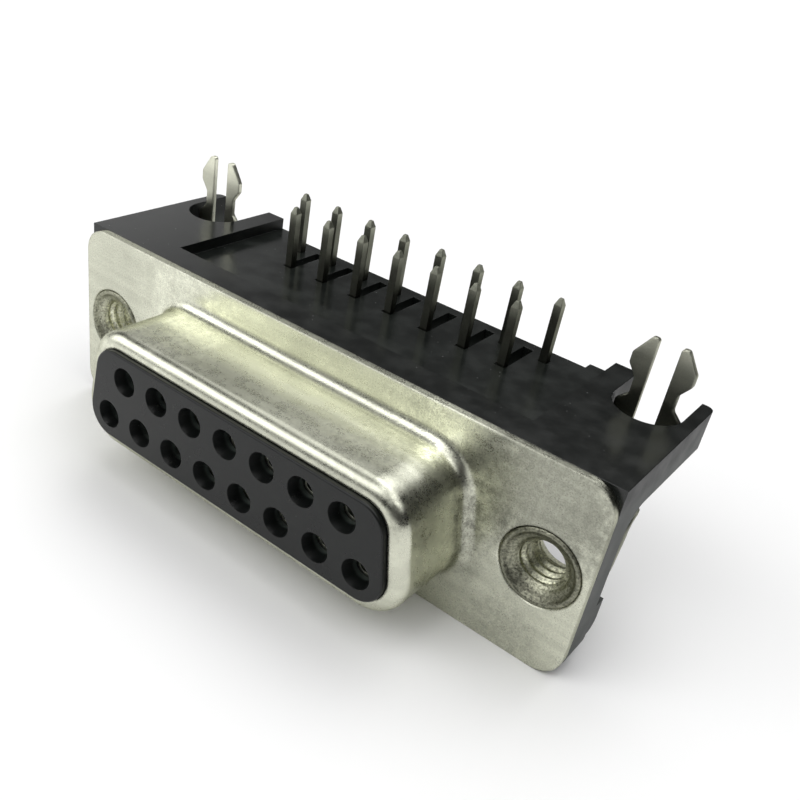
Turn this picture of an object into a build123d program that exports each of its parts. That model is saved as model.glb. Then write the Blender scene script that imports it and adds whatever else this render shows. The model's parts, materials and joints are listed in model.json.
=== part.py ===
from build123d import *
from math import cos, radians, tan
import os

os.makedirs("parts", exist_ok=True)

# A female d-sub connector whose mating face stands at a right angle to its board.
# X runs along the flange, Y runs back from the mating face, and Z points to the side
# where the solder tails stand up. The origin is the centre of the flange's front face.
# All sizes are in millimetres.

# Running gap between two pieces that are assembled one inside the other
FIT_GAP = 0.05

# Front shell, drawn from sheet
FLANGE_HEIGHT = 12.4
FLANGE_CORNER = 1.7
FLANGE_SHEET = 0.5
HOLE_TO_EDGE = 2.75
SHROUD_END_MARGIN = 2.635
SHROUD_TO_HOLE = 4.32
SHROUD_HEIGHT = 7.9
SHROUD_CORNER = 2.6
SHROUD_SLOPE = 10.0
SHROUD_LENGTH = 5.7
SHROUD_WALL = 0.45
LIP_RADIUS = 0.8
LIP_REACH = 0.9
ROOT_RADIUS = 0.7

# Threaded inserts that clamp the shell, the housing and the board locks together
INSERT_RADIUS = 2.0
INSERT_RING_WIDTH = 0.37
INSERT_PROUD = 0.06
INSERT_MOUTH_RADIUS = 2.07
INSERT_MOUTH_DEPTH = 0.7
THREAD_MINOR_RADIUS = 1.2
COLLAR_RADIUS = 2.2
COLLAR_LENGTH = 0.35
COLLAR_FLARE = 0.35
COLLAR_FLARE_LENGTH = 0.61

# Front insulator
NOSE_PROUD = 0.34
NOSE_ROUND = 0.12
BASE_MARGIN = 0.8
BASE_THICKNESS = 1.5
BOSS_INSET = 1.0

# Contacts, eight in the row on the wide side of the D and one fewer in the other row
CONTACT_PITCH = 2.77
ROW_SPACING = 2.84
WIDE_ROW_COUNT = 8
MOUTH_RADIUS = 0.9
MOUTH_ANGLE = 36.0
ENTRY_RADIUS = 0.68
ENTRY_LENGTH = 1.0
CAVITY_RADIUS = 0.85
COLLAR_SEAT_DEPTH = 1.7
SLEEVE_BORE_RADIUS = 0.52
SLEEVE_BORE_DEPTH = 4.6
SLEEVE_CHAMFER = 0.1
SLIT_WIDTH = 0.2
SLIT_LENGTH = 3.0
CONTACT_COLLAR_STEP = 0.13
CONTACT_COLLAR_LENGTH = 1.1

# Solder tails, square wire bent up through the board plate
TAIL_WIDTH = 0.5
TAIL_BEND_RADIUS = 0.9
TAIL_STAND = 3.28
TAIL_POINT_LENGTH = 0.4
TAIL_POINT_TAPER = 20.0
FRONT_TAIL_Y = 7.9
TAIL_ROW_SPACING = 2.54

# Rear housing, one L of black plastic
UPRIGHT_THICKNESS = 2.45
UPRIGHT_CORNER = 1.6
PLATE_THICKNESS = 2.75
PLATE_BEHIND_TAILS = 2.01
PLATE_CORNER = 0.5
OUTER_ARM_STEP = 0.4
PLATE_UNDERCUT = 0.35
INNER_BEND_RADIUS = 1.2
RECESS_END_MARGIN = 3.505
RECESS_DEPTH = 0.75
RECESS_FRONT = 2.5
REAR_NUB_WIDTH = 1.45
REAR_NUB_DEPTH = 0.65
TAIL_SLOT_WIDTH = 0.7
TAIL_SLOT_TO_EDGE = 0.75
TAIL_HOLE_GAP = 0.05
LOCK_SLOT_RADIUS = 2.0
LOCK_SLOT_RUN = 3.25
STOP_WIDTH = 1.15
STOP_SIDE_STEP = 0.1
STOP_TOP = -2.7
STOP_RISE = 1.4
STOP_PROUD = 0.95
STOP_ROUND = 0.8

# Board locks, one folded strap of sheet on each side; their prongs' levels are
# counted from the housing's board face
LOCK_SHEET = 0.3
LOCK_LEG_STEP = 0.25
LOCK_LUG_RADIUS = 2.65
LOCK_SHOULDER_DROP = 1.5
LOCK_FRONT_BEND = 1.25
LOCK_REAR_BEND = 1.0
LOCK_STEP_Y = 4.15
LOCK_TAB_GAP = 0.1
LOCK_TAB_SETBACK = 0.25
PRONG_STAND = 3.72
PRONG_GAP = 1.25
PRONG_GAP_DROP = 1.22
PRONG_TIP_WIDTH = 0.4
PRONG_TIP_ROUND = 0.18
BARB_REACH = 1.8
BARB_TOP_STAND = 2.55
BARB_LENGTH = 0.65
BARB_ROUND = 0.3
NECK_REACH = 1.28
NECK_STAND = 0.18
NECK_LENGTH = 1.0
NECK_FLARE_LENGTH = 0.6
NECK_ROUND = 0.35

# Widths that follow from the contacts and the margins above
ROW_LENGTH = (WIDE_ROW_COUNT - 1) * CONTACT_PITCH
NARROW_ROW_COUNT = WIDE_ROW_COUNT - 1
SHROUD_WIDTH = ROW_LENGTH + 2 * SHROUD_END_MARGIN
HOLE_X = SHROUD_WIDTH / 2 + SHROUD_TO_HOLE
FLANGE_WIDTH = 2 * (HOLE_X + HOLE_TO_EDGE)
HOUSING_WIDTH = FLANGE_WIDTH
RECESS_WIDTH = ROW_LENGTH + 2 * RECESS_END_MARGIN
REAR_NOTCH_WIDTH = RECESS_WIDTH - 2 * REAR_NUB_WIDTH
INSERT_RING_RADIUS = INSERT_RADIUS + INSERT_RING_WIDTH
CONTACT_COLLAR_RADIUS = CAVITY_RADIUS + CONTACT_COLLAR_STEP
LOCK_WIDTH = HOUSING_WIDTH - 2 * HOLE_X
LOCK_LEG_WIDTH = LOCK_WIDTH - 2 * LOCK_LEG_STEP
LOCK_TAB_WIDTH = 2 * (LOCK_SLOT_RADIUS - LOCK_TAB_GAP)

# Levels and depths that follow from the sizes above
HOUSING_TOP = FLANGE_HEIGHT / 2
HOUSING_BOTTOM = -FLANGE_HEIGHT / 2
HOUSING_BACK = FLANGE_SHEET + UPRIGHT_THICKNESS
PLATE_BOTTOM = HOUSING_TOP - PLATE_THICKNESS
STOP_BOTTOM = HOUSING_BOTTOM + STOP_RISE
NOSE_FRONT = -SHROUD_LENGTH - NOSE_PROUD
SHOULDER_FRONT = -SHROUD_LENGTH + SHROUD_WALL + FIT_GAP
BASE_BACK = FLANGE_SHEET + BASE_THICKNESS
BOSS_BACK = HOUSING_BACK - FIT_GAP
CAVITY_FRONT = NOSE_FRONT + ENTRY_LENGTH
COLLAR_SEAT_FRONT = BOSS_BACK - COLLAR_SEAT_DEPTH
REAR_TAIL_Y = FRONT_TAIL_Y + TAIL_ROW_SPACING
TAIL_TOP = HOUSING_TOP + TAIL_STAND
PLATE_BACK = REAR_TAIL_Y + PLATE_BEHIND_TAILS
OUTER_ARM_BACK = PLATE_BACK - OUTER_ARM_STEP
TAIL_SLOT_BACK = PLATE_BACK - REAR_NUB_DEPTH - TAIL_SLOT_TO_EDGE
LOCK_SLOT_Y = PLATE_BACK - LOCK_SLOT_RUN
LOCK_TAB_Y = LOCK_SLOT_Y + LOCK_TAB_SETBACK
LOCK_BACK = HOUSING_BACK + LOCK_SHEET
LOCK_UNDER = PLATE_BOTTOM - LOCK_SHEET
LOCK_SHOULDER_Z = PLATE_BOTTOM - LOCK_SHOULDER_DROP
PRONG_TOP = HOUSING_TOP + PRONG_STAND
PRONG_GAP_BOTTOM = HOUSING_TOP - PRONG_GAP_DROP
BARB_TOP = HOUSING_TOP + BARB_TOP_STAND
BARB_BOTTOM = BARB_TOP - BARB_LENGTH
NECK_BOTTOM = HOUSING_TOP + NECK_STAND
NECK_TOP = NECK_BOTTOM + NECK_LENGTH
ROOT_TOP = NECK_BOTTOM - NECK_FLARE_LENGTH

# Overshoot of the cutting solids, and the tolerance for finding a face by its place
CUT_OVERSHOOT = 1.0
NEAR = 0.01


def depth_plane(y):
    """The plane across the connector at depth y; what is extruded from it grows forwards."""
    return Plane.XZ.offset(-y)


def side_plane(x):
    """The plane along the connector at x; its own axes are Y and Z."""
    return Plane.YZ.offset(x)


def d_face(y, inset):
    """The D of the shroud at depth y, moved in by inset all round, wide side down."""
    corner = SHROUD_CORNER - inset
    lean = tan(radians(SHROUD_SLOPE))
    row = SHROUD_HEIGHT / 2 - SHROUD_CORNER
    middle = SHROUD_WIDTH / 2 - SHROUD_CORNER - row * lean
    reach = corner / cos(radians(SHROUD_SLOPE))
    half_height = row + corner
    half_bottom = middle + half_height * lean + reach
    half_top = middle - half_height * lean + reach
    with BuildSketch(depth_plane(y)) as outline:
        with BuildLine():
            Polyline(
                (-half_bottom, -half_height),
                (half_bottom, -half_height),
                (half_top, half_height),
                (-half_top, half_height),
                close=True,
            )
        make_face()
        fillet(outline.vertices(), corner)
    return outline.sketch


def row_of_x(count):
    """The X places of one row of contacts, centred on the connector."""
    return [(i - (count - 1) / 2) * CONTACT_PITCH for i in range(count)]


# Each contact has its number, its X, its row's Z and the Y of its solder tail
wide_row = [(x, -ROW_SPACING / 2, REAR_TAIL_Y) for x in row_of_x(WIDE_ROW_COUNT)]
narrow_row = [(x, ROW_SPACING / 2, FRONT_TAIL_Y) for x in row_of_x(NARROW_ROW_COUNT)]
contact_places = wide_row + narrow_row
contact_spots = [(x, z) for x, z, tail_y in contact_places]


# Front shell: flange and D shroud in one drawn sheet, with a lip turned in at the mouth
with BuildPart() as front_shell:
    with BuildSketch(depth_plane(FLANGE_SHEET)):
        RectangleRounded(FLANGE_WIDTH, FLANGE_HEIGHT, FLANGE_CORNER)
    extrude(amount=FLANGE_SHEET)
    extrude(d_face(0, 0), amount=SHROUD_LENGTH)
    shroud_front = front_shell.faces().sort_by(Axis.Y)[0]
    fillet(shroud_front.edges(), LIP_RADIUS)
    flange_front = front_shell.faces().filter_by(Axis.Y).filter_by_position(Axis.Y, -NEAR, NEAR)[0]
    fillet(flange_front.inner_wires()[0].edges(), ROOT_RADIUS)

    # The hollow of the shroud, its rounded inner corner at the lip, and the lip's opening
    cavity_length = FLANGE_SHEET + SHROUD_LENGTH - SHROUD_WALL
    extrude(d_face(FLANGE_SHEET, SHROUD_WALL), amount=cavity_length, mode=Mode.SUBTRACT)
    lip_back_y = -SHROUD_LENGTH + SHROUD_WALL
    extrude(d_face(lip_back_y, LIP_REACH), amount=SHROUD_WALL + CUT_OVERSHOOT, mode=Mode.SUBTRACT)
    at_lip = front_shell.faces().filter_by(Axis.Y)
    lip_back = at_lip.filter_by_position(Axis.Y, lip_back_y - NEAR, lip_back_y + NEAR)[0]
    fillet(lip_back.outer_wire().edges(), LIP_RADIUS - SHROUD_WALL)
    at_back = front_shell.faces().filter_by(Axis.Y)
    flange_back = at_back.filter_by_position(Axis.Y, FLANGE_SHEET - NEAR, FLANGE_SHEET + NEAR)[0]
    fillet(flange_back.inner_wires()[0].edges(), ROOT_RADIUS + SHROUD_WALL)

    # Countersunk seats of the two threaded inserts
    with Locations(depth_plane(0)):
        with Locations((-HOLE_X, 0), (HOLE_X, 0)):
            CounterSinkHole(INSERT_RADIUS + FIT_GAP, INSERT_RING_RADIUS + FIT_GAP, counter_sink_angle=90)
front_shell.part.label = "front_shell"
export_step(front_shell.part, "parts/front_shell.step")


# Front insulator: a D block that fills the shroud, held by its base between shell and housing
with BuildPart() as front_insulator:
    extrude(d_face(FLANGE_SHEET, SHROUD_WALL + FIT_GAP), amount=FLANGE_SHEET - SHOULDER_FRONT)
    shoulder = front_insulator.faces().sort_by(Axis.Y)[0]
    fillet(shoulder.edges(), LIP_RADIUS - SHROUD_WALL)
    extrude(d_face(SHOULDER_FRONT, LIP_REACH + FIT_GAP), amount=SHOULDER_FRONT - NOSE_FRONT)
    nose = front_insulator.faces().sort_by(Axis.Y)[0]
    fillet(nose.edges(), NOSE_ROUND)
    extrude(d_face(BASE_BACK, -BASE_MARGIN), amount=BASE_THICKNESS)
    extrude(d_face(BOSS_BACK, BOSS_INSET + FIT_GAP), amount=BOSS_BACK - BASE_BACK)

    # Each way has a funnel, a close entry for the mating pin, and a cavity open to the back
    with Locations(depth_plane(NOSE_FRONT)):
        with Locations(*contact_spots):
            CounterSinkHole(ENTRY_RADIUS, MOUTH_RADIUS, counter_sink_angle=MOUTH_ANGLE)
    with BuildSketch(depth_plane(BOSS_BACK)):
        with Locations(*contact_spots):
            Circle(CAVITY_RADIUS)
    extrude(amount=BOSS_BACK - CAVITY_FRONT, mode=Mode.SUBTRACT)
    with BuildSketch(depth_plane(BOSS_BACK)):
        with Locations(*contact_spots):
            Circle(CONTACT_COLLAR_RADIUS + FIT_GAP)
    extrude(amount=COLLAR_SEAT_DEPTH, mode=Mode.SUBTRACT)
front_insulator.part.label = "front_insulator"
export_step(front_insulator.part, "parts/front_insulator.step")


# Rear housing: an upright behind the flange and a board plate over the solder tails
with BuildPart() as rear_housing:
    with BuildSketch(depth_plane(HOUSING_BACK)) as upright:
        with Locations((0, (HOUSING_TOP + HOUSING_BOTTOM) / 2)):
            Rectangle(HOUSING_WIDTH, HOUSING_TOP - HOUSING_BOTTOM)
        fillet(upright.vertices().group_by(Axis.Y)[0], UPRIGHT_CORNER)
    extrude(amount=UPRIGHT_THICKNESS)

    # The board plate with its notched rear edge and everything that passes through it
    plate_depth = PLATE_BACK - FLANGE_SHEET
    with BuildSketch(Plane.XY.offset(PLATE_BOTTOM)) as plate:
        with Locations((0, FLANGE_SHEET + plate_depth / 2)):
            Rectangle(HOUSING_WIDTH, plate_depth)
        arm_width = HOUSING_WIDTH / 2 - HOLE_X
        for side in (-1, 1):
            with Locations((side * (HOLE_X + arm_width / 2), PLATE_BACK)):
                Rectangle(arm_width, 2 * OUTER_ARM_STEP, mode=Mode.SUBTRACT)
        rear_of_arms = (OUTER_ARM_BACK - NEAR, OUTER_ARM_BACK + NEAR)
        arm_corners = plate.vertices().filter_by_position(Axis.Y, *rear_of_arms).sort_by(Axis.X)
        fillet([arm_corners[0], arm_corners[-1]], PLATE_CORNER)
        with Locations((0, PLATE_BACK)):
            Rectangle(REAR_NOTCH_WIDTH, 2 * REAR_NUB_DEPTH, mode=Mode.SUBTRACT)
        with Locations((-HOLE_X, LOCK_SLOT_Y), (HOLE_X, LOCK_SLOT_Y)):
            Circle(LOCK_SLOT_RADIUS, mode=Mode.SUBTRACT)
            Rectangle(
                2 * LOCK_SLOT_RADIUS,
                PLATE_BACK + CUT_OVERSHOOT - LOCK_SLOT_Y,
                align=(Align.CENTER, Align.MIN),
                mode=Mode.SUBTRACT,
            )
        slot_front = FRONT_TAIL_Y - TAIL_SLOT_WIDTH / 2
        slot_length = TAIL_SLOT_BACK - slot_front
        with Locations(*[(x, slot_front) for x, z, tail_y in narrow_row]):
            Rectangle(
                TAIL_SLOT_WIDTH,
                slot_length,
                align=(Align.CENTER, Align.MIN),
                mode=Mode.SUBTRACT,
            )
        hole_width = TAIL_WIDTH + 2 * TAIL_HOLE_GAP
        with Locations(*[(x, tail_y) for x, z, tail_y in wide_row]):
            Rectangle(hole_width, hole_width, mode=Mode.SUBTRACT)
    extrude(amount=PLATE_THICKNESS)

    # The long inner corner of the L, then the shallow recess in the board plate's face
    inner_corner = rear_housing.edges().filter_by(Axis.X)
    inner_corner = inner_corner.filter_by_position(Axis.Y, HOUSING_BACK - NEAR, HOUSING_BACK + NEAR)
    inner_corner = inner_corner.filter_by_position(Axis.Z, PLATE_BOTTOM - NEAR, PLATE_BOTTOM + NEAR)
    fillet(inner_corner, INNER_BEND_RADIUS)
    recess_run = PLATE_BACK + CUT_OVERSHOOT - RECESS_FRONT
    with BuildSketch(Plane.XY.offset(HOUSING_TOP - RECESS_DEPTH)):
        with Locations((0, RECESS_FRONT)):
            Rectangle(RECESS_WIDTH, recess_run, align=(Align.CENTER, Align.MIN))
    extrude(amount=RECESS_DEPTH + CUT_OVERSHOOT, mode=Mode.SUBTRACT)

    # The outer arms are undercut a little at their lower rear edge
    lower_rear = rear_housing.edges().filter_by(Axis.X)
    lower_rear = lower_rear.filter_by_position(Axis.Y, OUTER_ARM_BACK - NEAR, OUTER_ARM_BACK + NEAR)
    lower_rear = lower_rear.filter_by_position(Axis.Z, PLATE_BOTTOM - NEAR, PLATE_BOTTOM + NEAR)
    chamfer(lower_rear, PLATE_UNDERCUT)

    # The window for the insulator: a pocket for its base and a smaller way through for its boss
    extrude(d_face(BASE_BACK, -BASE_MARGIN - FIT_GAP), amount=BASE_THICKNESS, mode=Mode.SUBTRACT)
    extrude(
        d_face(HOUSING_BACK, BOSS_INSET),
        amount=HOUSING_BACK - BASE_BACK,
        mode=Mode.SUBTRACT,
    )

    # Bores for the inserts, and a stop below each board lock
    with BuildSketch(depth_plane(HOUSING_BACK)):
        with Locations((-HOLE_X, 0), (HOLE_X, 0)):
            Circle(INSERT_RADIUS + FIT_GAP)
    extrude(amount=UPRIGHT_THICKNESS, mode=Mode.SUBTRACT)
    stop_back = HOUSING_BACK + STOP_PROUD
    stop_x = HOUSING_WIDTH / 2 - STOP_SIDE_STEP - STOP_WIDTH / 2
    with BuildSketch(depth_plane(stop_back)):
        with Locations((-stop_x, (STOP_TOP + STOP_BOTTOM) / 2), (stop_x, (STOP_TOP + STOP_BOTTOM) / 2)):
            Rectangle(STOP_WIDTH, STOP_TOP - STOP_BOTTOM)
    extrude(amount=STOP_PROUD)
    stop_edges = rear_housing.edges().filter_by(Axis.X)
    stop_edges = stop_edges.filter_by_position(Axis.Y, stop_back - NEAR, stop_back + NEAR)
    stop_edges = stop_edges.filter_by_position(Axis.Z, STOP_BOTTOM - NEAR, STOP_BOTTOM + NEAR)
    fillet(stop_edges, STOP_ROUND)
rear_housing.part.label = "rear_housing"
export_step(rear_housing.part, "parts/rear_housing.step")


def make_contact(number, x, z, tail_y):
    """One contact: a slit sleeve, a collar that locks in the insulator, and a bent tail."""
    sleeve_front = CAVITY_FRONT + FIT_GAP
    collar_front = COLLAR_SEAT_FRONT + FIT_GAP
    collar_back = collar_front + CONTACT_COLLAR_LENGTH
    with BuildPart() as contact:
        with BuildSketch(depth_plane(collar_front)):
            with Locations((x, z)):
                Circle(CAVITY_RADIUS - FIT_GAP)
        extrude(amount=collar_front - sleeve_front)
        mouth = contact.faces().sort_by(Axis.Y)[0]
        chamfer(mouth.edges(), SLEEVE_CHAMFER)
        with BuildSketch(depth_plane(collar_back)):
            with Locations((x, z)):
                Circle(CONTACT_COLLAR_RADIUS)
        extrude(amount=CONTACT_COLLAR_LENGTH)

        # The bore for the mating pin and the slit that lets the sleeve spring
        with BuildSketch(depth_plane(sleeve_front + SLEEVE_BORE_DEPTH)):
            with Locations((x, z)):
                Circle(SLEEVE_BORE_RADIUS)
        extrude(amount=SLEEVE_BORE_DEPTH, mode=Mode.SUBTRACT)
        with BuildSketch(depth_plane(sleeve_front + SLIT_LENGTH)):
            with Locations((x, z)):
                Rectangle(2 * CAVITY_RADIUS, SLIT_WIDTH)
        extrude(amount=SLIT_LENGTH, mode=Mode.SUBTRACT)

        # The tail runs back, bends up and ends in a blunt point
        shank_top = TAIL_TOP - TAIL_POINT_LENGTH
        with BuildLine(side_plane(x)) as route:
            FilletPolyline(
                (collar_back, z),
                (tail_y, z),
                (tail_y, shank_top),
                radius=TAIL_BEND_RADIUS,
            )
        with BuildSketch(Plane(origin=(x, collar_back, z), x_dir=(1, 0, 0), z_dir=(0, 1, 0))):
            Rectangle(TAIL_WIDTH, TAIL_WIDTH)
        sweep(path=route.line)
        with BuildSketch(Plane.XY.offset(shank_top)):
            with Locations((x, tail_y)):
                Rectangle(TAIL_WIDTH, TAIL_WIDTH)
        extrude(amount=TAIL_POINT_LENGTH, taper=TAIL_POINT_TAPER)
    name = f"contact_{number}"
    contact.part.label = name
    export_step(contact.part, f"parts/{name}.step")


for index, (x, z, tail_y) in enumerate(contact_places):
    make_contact(index + 1, x, z, tail_y)


def make_insert(name, x):
    """One threaded insert: flared ring in front, threaded barrel, swaged collar behind."""
    collar_back = LOCK_BACK + COLLAR_LENGTH
    thread_front = INSERT_MOUTH_DEPTH - INSERT_PROUD
    thread_back = collar_back - COLLAR_FLARE_LENGTH
    with BuildPart() as insert:
        with BuildSketch(Plane.XY):
            with BuildLine():
                Polyline(
                    (x + INSERT_MOUTH_RADIUS, -INSERT_PROUD),
                    (x + INSERT_RING_RADIUS, -INSERT_PROUD),
                    (x + INSERT_RING_RADIUS, 0),
                    (x + INSERT_RADIUS, INSERT_RING_RADIUS - INSERT_RADIUS),
                    (x + INSERT_RADIUS, LOCK_BACK),
                    (x + COLLAR_RADIUS, LOCK_BACK),
                    (x + COLLAR_RADIUS, collar_back),
                    (x + THREAD_MINOR_RADIUS + COLLAR_FLARE, collar_back),
                    (x + THREAD_MINOR_RADIUS, thread_back),
                    (x + THREAD_MINOR_RADIUS, thread_front),
                    close=True,
                )
            make_face()
        revolve(axis=Axis((x, 0, 0), (0, 1, 0)))
    insert.part.label = name
    export_step(insert.part, f"parts/{name}.step")


make_insert("threaded_insert_left", -HOLE_X)
make_insert("threaded_insert_right", HOLE_X)


def lock_front_view():
    """The board lock seen from the front: lug below, strap, and two barbed prongs on top."""
    half_gap = PRONG_GAP / 2
    half_width = LOCK_WIDTH / 2
    with BuildSketch() as view:
        with BuildLine():
            Polyline(
                (-LOCK_LUG_RADIUS, 0),
                (LOCK_LUG_RADIUS, 0),
                (half_width, LOCK_SHOULDER_Z),
                (half_width, ROOT_TOP),
                (-half_width, ROOT_TOP),
                (-half_width, LOCK_SHOULDER_Z),
                close=True,
            )
        make_face()
        Circle(LOCK_LUG_RADIUS)
        Circle(INSERT_RADIUS + FIT_GAP, mode=Mode.SUBTRACT)
        root_reach = LOCK_TAB_WIDTH / 2
        for side in (-1, 1):
            with BuildSketch(mode=Mode.PRIVATE) as prong:
                with BuildLine():
                    Polyline(
                        (side * half_gap, PRONG_TOP),
                        (side * (half_gap + PRONG_TIP_WIDTH), PRONG_TOP),
                        (side * BARB_REACH, BARB_TOP),
                        (side * BARB_REACH, BARB_BOTTOM),
                        (side * NECK_REACH, NECK_TOP),
                        (side * NECK_REACH, NECK_BOTTOM),
                        (side * root_reach, ROOT_TOP),
                        (side * root_reach, LOCK_UNDER),
                        (side * half_gap, LOCK_UNDER),
                        close=True,
                    )
                make_face()
                fillet(prong.vertices().group_by(Axis.Y)[-1], PRONG_TIP_ROUND)
                barb = prong.vertices().filter_by_position(Axis.Y, BARB_BOTTOM - NEAR, BARB_TOP + NEAR)
                fillet(barb, BARB_ROUND)
                neck = prong.vertices().filter_by_position(Axis.Y, NECK_BOTTOM - NEAR, NECK_TOP + NEAR)
                fillet(neck, NECK_ROUND)
            add(prong.sketch)
        with Locations((0, PRONG_GAP_BOTTOM)):
            Rectangle(PRONG_GAP, PRONG_TOP, align=(Align.CENTER, Align.MIN), mode=Mode.SUBTRACT)
            Circle(half_gap, mode=Mode.SUBTRACT)
    return view.sketch


def make_lock(name, x):
    """One board lock: its side profile, kept to the outlines of its front and its plan."""
    half_leg = LOCK_LEG_WIDTH / 2
    half_tab = LOCK_TAB_WIDTH / 2
    half_width = LOCK_WIDTH / 2
    tab_middle = LOCK_TAB_Y
    leg_middle = (LOCK_STEP_Y + tab_middle) / 2
    strap_centre_y = HOUSING_BACK + LOCK_SHEET / 2
    strap_centre_z = PLATE_BOTTOM - LOCK_SHEET / 2
    with BuildPart() as lock:
        # Side profile: down the upright, back under the board plate, up through its slot
        with BuildLine(side_plane(x)) as middle_line:
            FilletPolyline(
                (strap_centre_y, -LOCK_LUG_RADIUS),
                (strap_centre_y, strap_centre_z),
                (leg_middle, strap_centre_z),
                radius=LOCK_FRONT_BEND - LOCK_SHEET / 2,
            )
            FilletPolyline(
                (leg_middle, strap_centre_z),
                (tab_middle, strap_centre_z),
                (tab_middle, PRONG_TOP),
                radius=LOCK_REAR_BEND - LOCK_SHEET / 2,
            )
        with BuildSketch(Plane.XY.offset(-LOCK_LUG_RADIUS)):
            with Locations((x, strap_centre_y)):
                Rectangle(LOCK_WIDTH, LOCK_SHEET)
        sweep(path=middle_line.line)

        # Plan outline: full width at the first bend, then a narrower leg and the tab
        with BuildSketch(Plane.XY.offset(-LOCK_LUG_RADIUS)):
            with BuildLine():
                Polyline(
                    (x - half_width, 0),
                    (x + half_width, 0),
                    (x + half_width, LOCK_STEP_Y - half_width + half_leg),
                    (x + half_leg, LOCK_STEP_Y),
                    (x + half_leg, tab_middle - 2 * LOCK_REAR_BEND),
                    (x + half_tab, tab_middle - LOCK_REAR_BEND),
                    (x + half_tab, tab_middle + CUT_OVERSHOOT),
                    (x - half_tab, tab_middle + CUT_OVERSHOOT),
                    (x - half_tab, tab_middle - LOCK_REAR_BEND),
                    (x - half_leg, tab_middle - 2 * LOCK_REAR_BEND),
                    (x - half_leg, LOCK_STEP_Y),
                    (x - half_width, LOCK_STEP_Y - half_width + half_leg),
                    close=True,
                )
            make_face()
        extrude(amount=PRONG_TOP + LOCK_LUG_RADIUS, mode=Mode.INTERSECT)

        with BuildSketch(depth_plane(tab_middle + CUT_OVERSHOOT)):
            with Locations((x, 0)):
                add(lock_front_view())
        extrude(amount=tab_middle + CUT_OVERSHOOT, mode=Mode.INTERSECT)
    lock.part.label = name
    export_step(lock.part, f"parts/{name}.step")


make_lock("board_lock_left", -HOLE_X)
make_lock("board_lock_right", HOLE_X)
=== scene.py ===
import json
import math

import bmesh
import bpy
from mathutils import Matrix, Vector


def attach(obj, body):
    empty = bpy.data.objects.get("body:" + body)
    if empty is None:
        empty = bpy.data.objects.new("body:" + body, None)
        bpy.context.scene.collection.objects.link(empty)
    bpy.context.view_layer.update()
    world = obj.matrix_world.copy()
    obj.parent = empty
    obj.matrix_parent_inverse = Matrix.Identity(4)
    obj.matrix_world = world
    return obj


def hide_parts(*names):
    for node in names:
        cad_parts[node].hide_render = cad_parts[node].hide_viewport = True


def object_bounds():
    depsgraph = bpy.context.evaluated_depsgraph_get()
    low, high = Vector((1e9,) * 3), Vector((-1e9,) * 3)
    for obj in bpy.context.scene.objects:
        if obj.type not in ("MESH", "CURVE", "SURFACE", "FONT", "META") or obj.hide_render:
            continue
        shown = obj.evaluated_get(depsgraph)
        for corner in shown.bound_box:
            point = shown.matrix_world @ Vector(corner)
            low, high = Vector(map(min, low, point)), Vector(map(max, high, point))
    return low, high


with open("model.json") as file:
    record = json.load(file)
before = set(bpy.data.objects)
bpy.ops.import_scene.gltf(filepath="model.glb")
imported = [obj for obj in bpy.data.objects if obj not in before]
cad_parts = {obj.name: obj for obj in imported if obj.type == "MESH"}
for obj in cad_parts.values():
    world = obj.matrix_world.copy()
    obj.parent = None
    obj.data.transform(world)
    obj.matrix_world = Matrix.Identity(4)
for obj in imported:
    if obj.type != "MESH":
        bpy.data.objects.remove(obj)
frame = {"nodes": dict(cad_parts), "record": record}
cad_low, cad_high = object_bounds()

MM = 0.001

# The camera, worked out from the photograph: where it stands, the point that it looks at,
# how far it is rolled about its own line of sight, its lens on a 36 mm sensor, and the
# shift that the photograph's crop gives
CAMERA_PLACE = Vector((28.447, -36.38, 29.653)) * MM
CAMERA_AIM = Vector((3.177, 0.0, 1.452)) * MM
CAMERA_ROLL = math.radians(8.882)
CAMERA_SENSOR = 36.0
CAMERA_LENS = 41.438
CAMERA_SHIFT = (0.0756, 0.0386)
CAMERA_CLIP = (0.001, 10.0)

# The threaded inserts, in millimetres. The places and the outer radii are those of the solids
INSERT_X = 16.65
RING_FRONT = -0.06
RING_RADIUS = 2.37
BARREL_RADIUS = 2.0
BARREL_BACK = 3.25
COLLAR_RADIUS = 2.2
COLLAR_BACK = 3.6
BACK_CHAMFER = 0.25
BACK_FUNNEL = 0.70
INSERT_SEGMENTS = 96

# The thread, in millimetres: its two radii, its pitch and where it starts, in turns. Then the
# shares of half a turn that the crest's flat and the flank take, the rows that the bore is
# cut into, and the part of the bore, one in so many, over which the thread rises at the back
THREAD_MINOR = 1.2
THREAD_MAJOR = 1.42
THREAD_PITCH = 0.635
THREAD_START = 0.55
THREAD_CREST = 0.14
THREAD_FLANK = 0.62
THREAD_ROWS = 84
THREAD_RISE = 12

# The soft lights of the studio, in degrees: the azimuth from behind the object toward its
# right, the elevation, the level in the middle, and the angle at which the light has faded
# out. The core is the share of that angle which has the full level
STUDIO_LIGHTS = [
    (-108, 6, 0.21, 28),
    (-60, 6, 0.88, 28),
    (-120, 24, 1.75, 28),
    (-150, 42, 1.98, 28),
    (-160, 60, 1.03, 28),
    (-40, 60, 1.48, 28),
    (0, 60, 2.60, 28),
    (80, 60, 1.87, 28),
    (160, 60, 0.68, 28),
    (-35, 32, 0.11, 32),
    (180, 84, 3.00, 11),
]
LIGHT_CORE = 0.12
FLOOR_HALF = 2.0

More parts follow.
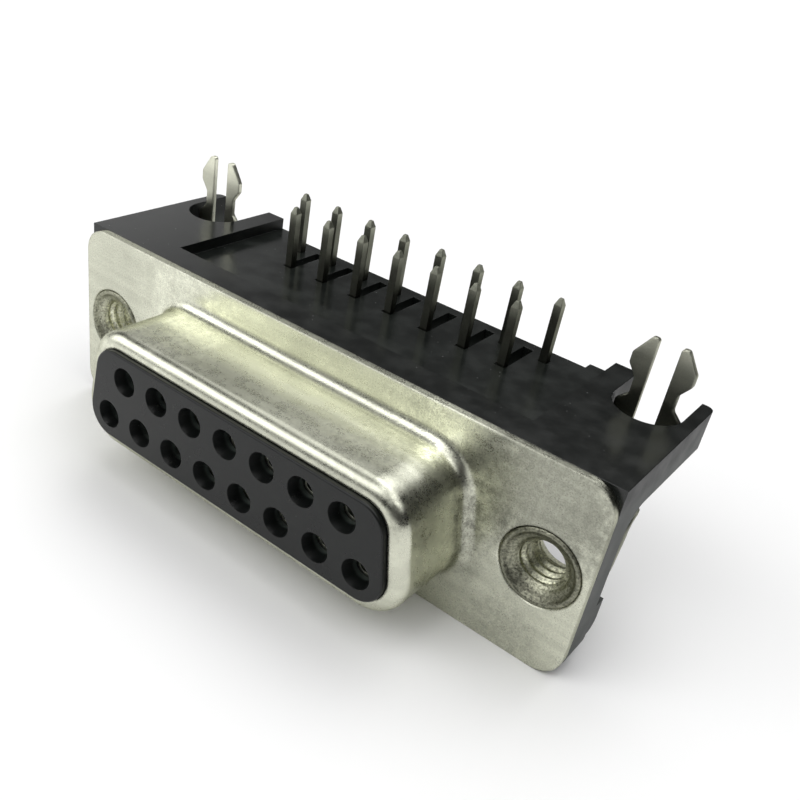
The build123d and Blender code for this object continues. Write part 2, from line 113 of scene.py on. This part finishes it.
# Patches of the shell that are duller, or brighter where the last value is negative: the
# middle and the reach in millimetres, and the share of the light that the patch takes. The
# dull one low on the flange's right is a real stain; the other dull ones are painted shade on
# the flange's upper right and on the shroud's right root, top and lip, and the bright ones
# are painted highlights on the shroud's top, the flange, the root and the lip's corner
SHELL_STAINS_AND_PAINTED_LIGHT = [
    ((16.0, 0.0, 4.0), 4.4, 0.45),
    ((12.6, 0.0, 1.0), 2.4, 0.12),
    ((12.1, -0.2, 1.2), 1.2, 0.26),
    ((12.45, -0.2, -0.6), 1.2, 0.32),
    ((12.75, -0.2, -2.2), 1.1, 0.20),
    ((15.5, 0.0, -5.2), 2.6, 0.14),
    ((11.3, -5.0, 3.0), 1.2, 0.12),
    ((8.6, -3.6, 4.2), 4.0, 0.11),
    ((-9.5, -3.0, 4.4), 5.0, -0.26),
    ((10.3, 0.0, 5.05), 2.1, -0.36),
    ((7.6, 0.0, 5.3), 1.8, -0.14),
    ((9.7, -1.1, 3.95), 0.9, -0.32),
    ((11.0, -5.5, 3.6), 0.8, -0.30),
]

# Fades of a material's tone: the axis, where the fade starts and ends in millimetres, and
# the levels there. The shell's fades paint light: the one along its length paints the left
# end lighter, and the two along its depth paint a highlight band before the flange. The
# burnished one fades the sand instead, from the flange to the drawn walls
SHELL_PAINTED_LIGHT = [("X", -14, -2, 1.07, 1.0), ("Y", -2.4, -1.2, 1.0, 1.14), ("Y", -0.75, -0.35, 1.0, 0.877)]
SHELL_BURNISHED = [("Y", -1.4, -0.5, 0.35, 1.0)]
# Painted light on the inserts: painted shade on the ring and the mouth, a lighter bore, and the left insert
# lighter
INSERT_PAINTED_LIGHT = [("Y", 0.0, 1.0, 0.70, 1.85), ("X", -16, 16, 1.40, 1.0)]
# Painted light on the board locks: the prong tips and the left lock lighter
LOCK_PAINTED_LIGHT = [("Z", 8.4, 9.8, 0.85, 1.3), ("X", -12, 12, 1.7, 1.0)]
# Painted light on the contacts: painted shade on the tails, deepest near the plate, lighter tips, and painted
# glints on the sleeves' fronts in the sockets
CONTACT_PAINTED_LIGHT = [("Z", 5.6, 7.4, 0.55, 0.80), ("Z", 8.2, 9.5, 1.0, 2.5), ("Y", -5.0, -2.0, 5.0, 1.0)]
# Painted light deep in the insulator's socket holes
INSULATOR_PAINTED_LIGHT = [("Y", -5.45, -5.2, 1.0, 14.0)]
# Painted light on the housing: lighter below the plate's top, and lighter still in the recess and the slots
HOUSING_PAINTED_LIGHT = [("Z", 5.6, 6.0, 1.5, 1.0), ("Z", 4.4, 5.3, 3.2, 1.0)]

# Moulded edges, rounded in millimetres, and the duller ends of the mouldings
PLASTIC_EDGE = 0.06
END_ROUGHER = 0.26
END_SHINE = 0.25


class Surface:
    """A node material: one Principled shader and short calls for the nodes that feed it."""

    def __init__(self, name, **sockets):
        self.material = bpy.data.materials.new(name)
        self.material.use_nodes = True
        self.tree = self.material.node_tree
        self.shader = self.tree.nodes["Principled BSDF"]
        for socket, value in sockets.items():
            self.shader.inputs[socket.replace("_", " ")].default_value = value
        self.place = self.node("ShaderNodeTexCoord").outputs["Object"]

    def node(self, kind, **settings):
        made = self.tree.nodes.new(kind)
        for key, value in settings.items():
            setattr(made, key, value)
        return made

    def feed(self, socket, value):
        """Put a number, a colour or another node's output on a socket."""
        if isinstance(value, bpy.types.NodeSocket):
            self.tree.links.new(value, socket)
        else:
            socket.default_value = value

    def set(self, **links):
        """Feed the shader's own sockets."""
        for socket, value in links.items():
            self.feed(self.shader.inputs[socket.replace("_", " ")], value)

    def stretched(self, factors):
        """The surface's own coordinates, scaled by a factor along each axis."""
        made = self.node("ShaderNodeVectorMath", operation="MULTIPLY")
        self.feed(made.inputs[0], self.place)
        made.inputs[1].default_value = factors
        return made.outputs[0]

    def axis(self, name):
        """One of the surface's own coordinates, in metres."""
        made = self.node("ShaderNodeSeparateXYZ")
        self.feed(made.inputs[0], self.place)
        return made.outputs[name]

    def near(self, place):
        """How far the surface lies from a place given in millimetres, in metres."""
        made = self.node("ShaderNodeVectorMath", operation="DISTANCE")
        self.feed(made.inputs[0], self.place)
        made.inputs[1].default_value = [value * MM for value in place]
        return made.outputs["Value"]

    def facing_side(self):
        """How squarely the surface faces left or right, from 0 to 1."""
        made = self.node("ShaderNodeSeparateXYZ")
        self.feed(made.inputs[0], self.node("ShaderNodeTexCoord").outputs["Normal"])
        turned = self.node("ShaderNodeMath", operation="ABSOLUTE")
        self.feed(turned.inputs[0], made.outputs["X"])
        return turned.outputs[0]

    def noise(self, size, detail=2.0, roughness=0.5, distortion=0.0, source=None):
        """Smooth noise whose features are about this many millimetres across."""
        made = self.node("ShaderNodeTexNoise")
        self.feed(made.inputs["Vector"], source or self.place)
        made.inputs["Scale"].default_value = 1 / (size * MM)
        made.inputs["Detail"].default_value = detail
        made.inputs["Roughness"].default_value = roughness
        made.inputs["Distortion"].default_value = distortion
        return made.outputs["Fac"]

    def dots(self, size, core, rim):
        """Scattered dots, 1 in their middle and 0 beyond their rim, on cells this many millimetres wide."""
        made = self.node("ShaderNodeTexVoronoi")
        self.feed(made.inputs["Vector"], self.place)
        made.inputs["Scale"].default_value = 1 / (size * MM)
        return self.band(made.outputs["Distance"], core, rim, 1.0, 0.0)

    def band(self, value, low, high, to_low=0.0, to_high=1.0, smooth=True):
        """Map a value from one range to another and clamp it."""
        made = self.node("ShaderNodeMapRange")
        made.interpolation_type = "SMOOTHSTEP" if smooth else "LINEAR"
        self.feed(made.inputs["Value"], value)
        for socket, number in zip(("From Min", "From Max", "To Min", "To Max"), (low, high, to_low, to_high)):
            self.feed(made.inputs[socket], number)
        return made.outputs["Result"]

    def calc(self, operation, first, second):
        """One step of arithmetic on two numbers or outputs."""
        made = self.node("ShaderNodeMath", operation=operation)
        self.feed(made.inputs[0], first)
        self.feed(made.inputs[1], second)
        return made.outputs[0]

    def faded(self, level, fades):
        """A level multiplied by each of a list of fades."""
        for axis, start, end, first, last in fades:
            fade = self.band(self.axis(axis), start * MM, end * MM, first, last)
            level = self.calc("MULTIPLY", level, fade)
        return level

    def mix(self, amount, first, second):
        """Blend two colours."""
        made = self.node("ShaderNodeMix", data_type="RGBA")
        self.feed(made.inputs["Factor"], amount)
        self.feed(made.inputs[6], first)
        self.feed(made.inputs[7], second)
        return made.outputs[2]

    def scaled(self, colour, factor):
        """A colour made lighter or darker by a factor."""
        made = self.node("ShaderNodeVectorMath", operation="SCALE")
        made.inputs[0].default_value = colour[:3]
        self.feed(made.inputs["Scale"], factor)
        return made.outputs[0]

    def bump(self, height, strength, depth, normal):
        """Raise a surface that has this normal by a height between 0 and 1, times a depth in millimetres."""
        made = self.node("ShaderNodeBump")
        self.feed(made.inputs["Strength"], strength)
        made.inputs["Distance"].default_value = depth * MM
        self.feed(made.inputs["Height"], height)
        self.feed(made.inputs["Normal"], normal)
        return made.outputs["Normal"]

    def rounded(self, radius):
        """The normal of a surface whose sharp edges are rounded to a radius in millimetres."""
        made = self.node("ShaderNodeBevel", samples=4)
        made.inputs["Radius"].default_value = radius * MM
        return made.outputs["Normal"]


def tin_plate(
    name,
    colour,
    roughness,
    contrast,
    speckle=0.10,
    grain_depth=0.010,
    pits=0.0,
    edge=0.16,
    waves=0.0,
    stains_and_painted_light=(),
    fades=(),
    burnished=(),
):
    """Tin on metal: satin and sandy, with smears, scratches, pits, stains and rounded edges, and with painted
    light and shade from the stain list and the fades.

    The sand's grain size and depth, the edges' radius and the depth of the waves are in
    millimetres. The contrast is the sand's, and the pits' value is how dark they are.
    """
    surface = Surface(name, Metallic=1.0, Specular_Tint=(0.62, 0.62, 0.56, 1.0))
    smear = surface.noise(3.5, detail=3.0, distortion=0.6)
    cloud = surface.noise(0.7, detail=4.0, roughness=0.6)
    grain = surface.noise(speckle, detail=2.0, roughness=0.7)
    level = surface.band(smear, 0.3, 0.7, 0.93, 1.05)

    # Drawn walls are burnished by the die, so their sand is fainter
    grit = surface.faded(1.0, burnished)
    spread = surface.calc("MULTIPLY", contrast, grit)
    darkest, lightest = surface.calc("SUBTRACT", 1.0, spread), surface.calc("ADD", 1.0, spread)
    sand = surface.band(grain, 0.30, 0.70, darkest, lightest, smooth=False)
    level = surface.calc("MULTIPLY", level, sand)
    streak = surface.noise(0.9, detail=4.0, source=surface.stretched((0.14, 1.0, 1.0)))
    level = surface.calc("MULTIPLY", level, surface.band(streak, 0.35, 0.65, 0.93, 1.07))

    # Stained patches and patches of painted light and shade, mottled and with ragged edges
    ragged = surface.band(surface.noise(0.9, detail=6.0, roughness=0.75), 0.35, 0.65, -1.0, 1.0)
    mottle = surface.band(surface.noise(0.40, detail=5.0, roughness=0.7), 0.40, 0.60, 0.90, 1.06)
    for place, radius, depth in stains_and_painted_light:
        reach = surface.calc("ADD", surface.near(place), surface.calc("MULTIPLY", ragged, 0.22 * radius * MM))
        spotted = surface.calc("MULTIPLY", mottle, 1 - depth)
        stain_and_painted_light = surface.band(reach, 0.55 * radius * MM, 1.15 * radius * MM, spotted, 1.0)
        level = surface.calc("MULTIPLY", level, stain_and_painted_light)
    # The fades paint light and shade into the tone
    tone = surface.scaled(colour, surface.faded(level, fades))

    # Small dark pits where the plating is thin, gathered in patches
    patch = surface.band(surface.noise(2.4, detail=2.0), 0.50, 0.64)
    pitted = surface.calc("MULTIPLY", surface.calc("MULTIPLY", patch, surface.dots(0.30, 0.03, 0.15)), pits)
    surface.set(Base_Color=surface.mix(pitted, tone, (0.112, 0.1072, 0.0808, 1.0)))
    rough = surface.band(cloud, 0.3, 0.7, roughness - 0.01, roughness + 0.05)
    surface.set(Roughness=surface.calc("ADD", rough, surface.band(grain, 0.35, 0.65, 0.0, 0.05)))

    # Rounded sheet edges, the slight waves of drawn sheet, the sandy grain and a few hair scratches
    wave = surface.noise(1.3, detail=1.0, source=surface.stretched((0.15, 1.0, 1.0)))
    wavy = surface.bump(wave, 1.0, waves, surface.rounded(edge))
    sandy = surface.bump(grain, grit, grain_depth, wavy)
    scratches = surface.noise(0.10, detail=1.0, source=surface.stretched((0.12, 0.4, 2.2)))
    surface.set(Normal=surface.bump(surface.band(scratches, 0.64, 0.76), 0.4, 0.003, sandy))
    return surface.material


def black_plastic(name, colour, roughness, shine, dust, fades):
    """Moulded black plastic: glossy faces, dull ends, smudges, specks of dust, and painted light from the
    fades.
    """
    surface = Surface(name, IOR=1.48)
    cloud = surface.noise(1.5, detail=4.0)
    # The fades paint light into the tone
    tone = surface.scaled(colour, surface.faded(surface.band(cloud, 0.3, 0.7, 0.8, 1.4), fades))

    # Pale specks of dust, sparse and of uneven size, in loose drifts
    drift = surface.band(surface.noise(2.6, detail=2.0), 0.48, 0.66)
    dusty = surface.calc("MULTIPLY", surface.calc("MULTIPLY", drift, surface.dots(0.5, 0.02, 0.09)), dust)
    film = surface.band(surface.noise(1.1, detail=6.0, roughness=0.75), 0.50, 0.85, 0.0, 0.06 * dust)
    surface.set(Base_Color=surface.mix(surface.calc("MAXIMUM", dusty, film), tone, (0.2, 0.2, 0.2, 1.0)))

    # The ends of the moulding are duller than its faces
    end = surface.band(surface.facing_side(), 0.6, 0.9)
    rough = surface.band(cloud, 0.3, 0.7, roughness - 0.04, roughness + 0.06)
    rough = surface.calc("ADD", rough, surface.calc("MULTIPLY", end, END_ROUGHER))
    surface.set(Roughness=surface.calc("MAXIMUM", rough, dusty))
    surface.set(Specular_IOR_Level=surface.band(end, 0.0, 1.0, shine, END_SHINE))
    grain = surface.noise(0.16, detail=3.0)
    surface.set(Normal=surface.bump(grain, 0.5, 0.004, surface.rounded(PLASTIC_EDGE)))
    return surface.material


MATERIALS = {
    "shell_metal": tin_plate(
        "shell tin",
        (0.600, 0.608, 0.505, 1.0),
        roughness=0.25,
        contrast=0.16,
        pits=0.10,
        waves=0.05,
        stains_and_painted_light=SHELL_STAINS_AND_PAINTED_LIGHT,
        fades=SHELL_PAINTED_LIGHT,
        burnished=SHELL_BURNISHED,
    ),
    "insert_metal": tin_plate(
        "insert tin",
        (0.31, 0.312, 0.24, 1.0),
        roughness=0.32,
        contrast=0.62,
        speckle=0.13,
        grain_depth=0.035,
        pits=0.7,
        edge=0.05,
        fades=INSERT_PAINTED_LIGHT,
    ),
    "lock_metal": tin_plate(
        "lock tin",
        (0.40, 0.405, 0.335, 1.0),
        roughness=0.28,
        contrast=0.08,
        fades=LOCK_PAINTED_LIGHT,
    ),
    "contact_metal": tin_plate(
        "contact tin",
        (0.165, 0.17, 0.138, 1.0),
        roughness=0.30,
        contrast=0.10,
        edge=0.05,
        fades=CONTACT_PAINTED_LIGHT,
    ),
    "insulator_plastic": black_plastic(
        "insulator plastic",
        (0.0045, 0.0055, 0.005, 1.0),
        roughness=0.30,
        shine=0.36,
        dust=0.5,
        fades=INSULATOR_PAINTED_LIGHT,
    ),
    "housing_plastic": black_plastic(
        "housing plastic",
        (0.0064, 0.0075, 0.0067, 1.0),
        roughness=0.20,
        shine=0.5,
        dust=1.0,
        fades=HOUSING_PAINTED_LIGHT,
    ),
}
slot_of_node = {row["node"]: row["material_slot"] for row in frame["record"]["subparts"]}
for name, node in frame["nodes"].items():
    node.data.materials.clear()
    node.data.materials.append(MATERIALS[slot_of_node[name]])


def thread_radius(turn, depth):
    """How far the wall of the bore lies from its axis: flats at both diameters, 60 degree flanks."""
    phase = (depth / THREAD_PITCH - turn - THREAD_START) % 1.0
    ramp = abs(2 * phase - 1)
    share = min(max((ramp - THREAD_CREST) / THREAD_FLANK, 0.0), 1.0)
    return THREAD_MINOR + (THREAD_MAJOR - THREAD_MINOR) * share


def insert_profile():
    """Half of the insert's section outside its thread, as (radius, depth), from mouth to back."""
    mouth = [(1.45, 0.56), (1.50, 0.46), (1.58, 0.36), (1.70, 0.27), (1.84, 0.20), (1.95, 0.11), (2.02, 0.02)]
    rim = [(2.07, -0.035), (2.13, RING_FRONT + 0.005), (2.19, RING_FRONT), (2.26, -0.04), (2.31, 0.01)]
    outside = [
        (RING_RADIUS - 0.035, 0.065),
        (BARREL_RADIUS, RING_RADIUS - BARREL_RADIUS),
        (BARREL_RADIUS, BARREL_BACK),
        (COLLAR_RADIUS, BARREL_BACK),
        (COLLAR_RADIUS, COLLAR_BACK),
        (BARREL_RADIUS - BACK_CHAMFER, COLLAR_BACK),
        (THREAD_MAJOR, COLLAR_BACK - BACK_FUNNEL),
    ]
    return mouth + rim + outside


def make_insert(name, x):
    """A threaded insert: the outside is turned, and its bore carries a real helical thread."""
    profile = insert_profile()
    front, back = profile[0][1], profile[-1][1]
    mesh = bmesh.new()

    def ring(points):
        made = []
        for index, (radius, depth) in enumerate(points):
            angle = 2 * math.pi * index / INSERT_SEGMENTS
            place = Vector((x + radius * math.cos(angle), depth, radius * math.sin(angle))) * MM
            made.append(mesh.verts.new(place))
        return made

    def join(first, second):
        for index in range(INSERT_SEGMENTS):
            following = (index + 1) % INSERT_SEGMENTS
            mesh.faces.new((first[index], first[following], second[following], second[index]))

    rings = [ring([point] * INSERT_SEGMENTS) for point in profile]
    for row in range(1, THREAD_ROWS):
        depth = back + (front - back) * row / THREAD_ROWS
        rise = min(row / THREAD_ROWS * THREAD_RISE, 1.0)
        points = []
        for index in range(INSERT_SEGMENTS):
            radius = thread_radius(index / INSERT_SEGMENTS, depth)
            points.append((THREAD_MAJOR + (radius - THREAD_MAJOR) * rise, depth))
        rings.append(ring(points))
    for index in range(len(rings)):
        join(rings[index], rings[(index + 1) % len(rings)])
    bmesh.ops.recalc_face_normals(mesh, faces=mesh.faces[:])
    data = bpy.data.meshes.new(name)
    mesh.to_mesh(data)
    mesh.free()
    data.materials.append(MATERIALS["insert_metal"])
    piece = bpy.data.objects.new(name, data)
    bpy.context.scene.collection.objects.link(piece)
    for face in data.polygons:
        face.use_smooth = True
    return piece


for side, x in (("left", -INSERT_X), ("right", INSERT_X)):
    insert = make_insert(f"insert_with_thread_{side}", x)
    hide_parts(f"threaded_insert_{side}")
    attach(insert, "root")


def add_camera():
    forward = (CAMERA_AIM - CAMERA_PLACE).normalized()
    level_right = forward.cross(Vector((0, 0, 1))).normalized()
    level_up = level_right.cross(forward)
    right = level_right * math.cos(CAMERA_ROLL) + level_up * math.sin(CAMERA_ROLL)
    up = right.cross(forward)
    turned = Matrix((right, up, -forward)).transposed().to_4x4()
    camera = bpy.data.objects.new("camera", bpy.data.cameras.new("camera"))
    bpy.context.scene.collection.objects.link(camera)
    camera.matrix_world = Matrix.Translation(CAMERA_PLACE) @ turned
    camera.data.sensor_width = CAMERA_SENSOR
    camera.data.lens = CAMERA_LENS
    camera.data.shift_x, camera.data.shift_y = CAMERA_SHIFT
    camera.data.clip_start, camera.data.clip_end = CAMERA_CLIP
    bpy.context.scene.camera = camera


def add_world():
    """A dark studio with broad soft lights, in front of a white ground that the camera alone sees."""
    world = bpy.data.worlds.new("studio")
    bpy.context.scene.world = world
    world.use_nodes = True
    tree = world.node_tree
    direction = tree.nodes.new("ShaderNodeTexCoord").outputs["Generated"]

    def soft_light(azimuth, elevation, level, half_width):
        azimuth, elevation, half_width = (math.radians(value) for value in (azimuth, elevation, half_width))
        across = math.cos(elevation)
        along = tree.nodes.new("ShaderNodeVectorMath")
        along.operation = "DOT_PRODUCT"
        tree.links.new(direction, along.inputs[0])
        along.inputs[1].default_value = (
            math.sin(azimuth) * across,
            math.cos(azimuth) * across,
            math.sin(elevation),
        )
        fade = tree.nodes.new("ShaderNodeMapRange")
        fade.interpolation_type = "SMOOTHSTEP"
        tree.links.new(along.outputs["Value"], fade.inputs["Value"])
        fade.inputs["From Min"].default_value = math.cos(half_width)
        fade.inputs["From Max"].default_value = math.cos(LIGHT_CORE * half_width)
        fade.inputs["To Max"].default_value = level
        return fade.outputs["Result"]

    strength = soft_light(*STUDIO_LIGHTS[0])
    for light in STUDIO_LIGHTS[1:]:
        total = tree.nodes.new("ShaderNodeMath")
        total.operation = "ADD"
        tree.links.new(strength, total.inputs[0])
        tree.links.new(soft_light(*light), total.inputs[1])
        strength = total.outputs[0]
    seen = tree.nodes.new("ShaderNodeMix")
    seen.data_type = "RGBA"
    tree.links.new(tree.nodes.new("ShaderNodeLightPath").outputs["Is Camera Ray"], seen.inputs["Factor"])
    tree.links.new(strength, seen.inputs[6])
    seen.inputs[7].default_value = (1, 1, 1, 1)
    tree.links.new(seen.outputs[2], tree.nodes["Background"].inputs["Color"])


def add_floor():
    """A plain pale floor under the object, wide enough to fill every view."""
    mesh = bpy.data.meshes.new("floor")
    signs = [(-1, -1), (1, -1), (1, 1), (-1, 1)]
    corners = [(x * FLOOR_HALF, y * FLOOR_HALF, cad_low.z) for x, y in signs]
    mesh.from_pydata(corners, [], [(0, 1, 2, 3)])
    floor = bpy.data.objects.new("floor", mesh)
    bpy.context.scene.collection.objects.link(floor)
    surface = Surface("floor", Base_Color=(0.97, 0.97, 0.97, 1), Roughness=0.9, Specular_IOR_Level=0.0)
    mesh.materials.append(surface.material)


add_camera()
add_world()
add_floor()

bpy.context.scene.view_settings.view_transform = "Standard"
